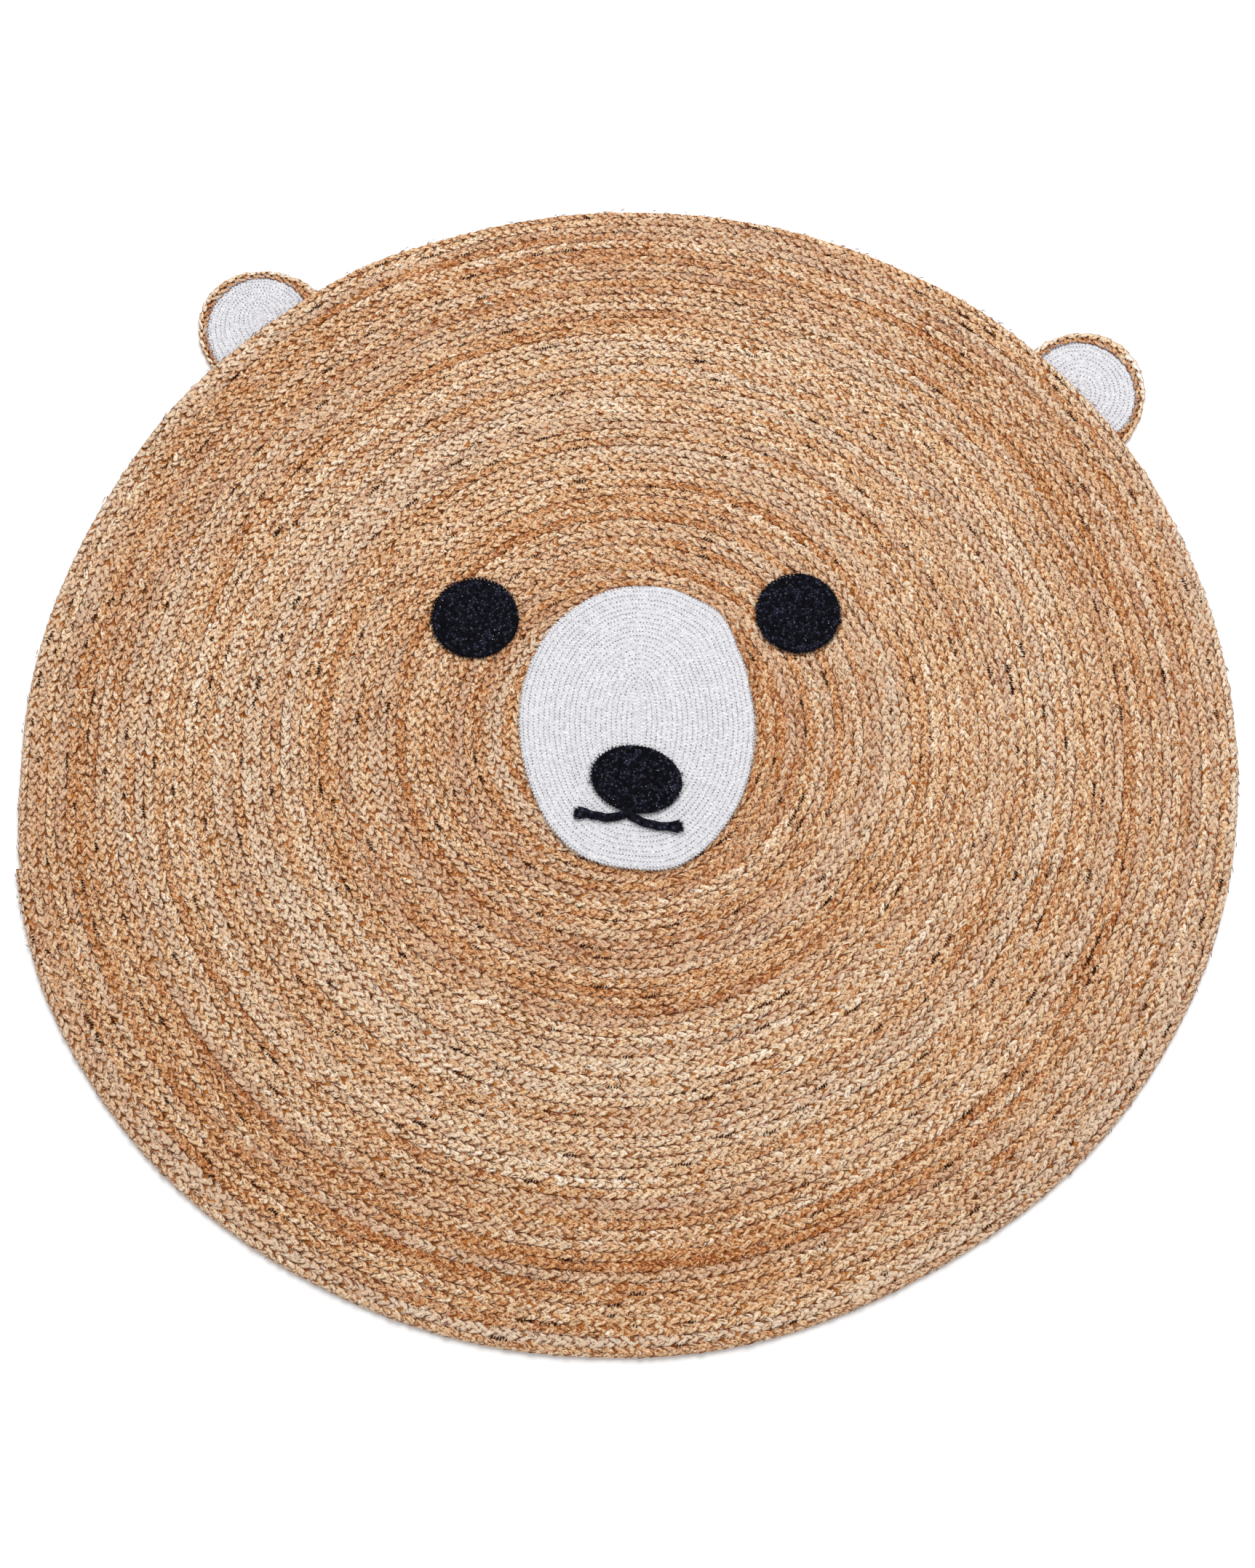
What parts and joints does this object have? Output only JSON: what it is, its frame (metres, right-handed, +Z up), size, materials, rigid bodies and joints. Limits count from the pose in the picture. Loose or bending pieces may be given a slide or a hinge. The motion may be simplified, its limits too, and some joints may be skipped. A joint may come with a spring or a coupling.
{
  "type": "round jute rug",
  "caption": "Flat round rug of braided jute wound in a spiral, with an animal face of sewn-on cotton coils and small cotton ears tucked under its rim.",
  "frame": {"origin": "on the floor, under the middle of the rug's own box; the spiral's heart lies within 4 mm of it", "axes": "+Z up from the floor, +X to the right of the face seen from above, +Y towards the ears"},
  "size_m": [1.194, 1.2024, 0.0197],
  "materials": {
    "jute": "matt braided jute",
    "white_cotton": "matt white cotton braid, coiled and stitched",
    "dark_cotton": "matt blue-black cotton braid, coiled and stitched"
  },
  "bodies": {
    "root": {"rug_field": "jute", "ear_left_braid": "jute", "ear_right_braid": "jute", "ear_left_coil": "white_cotton", "ear_right_coil": "white_cotton", "muzzle": "white_cotton", "eye_left": "dark_cotton", "eye_right": "dark_cotton", "nose": "dark_cotton", "mouth_left": "dark_cotton", "mouth_right": "dark_cotton"}
  },
  "joints": []
}
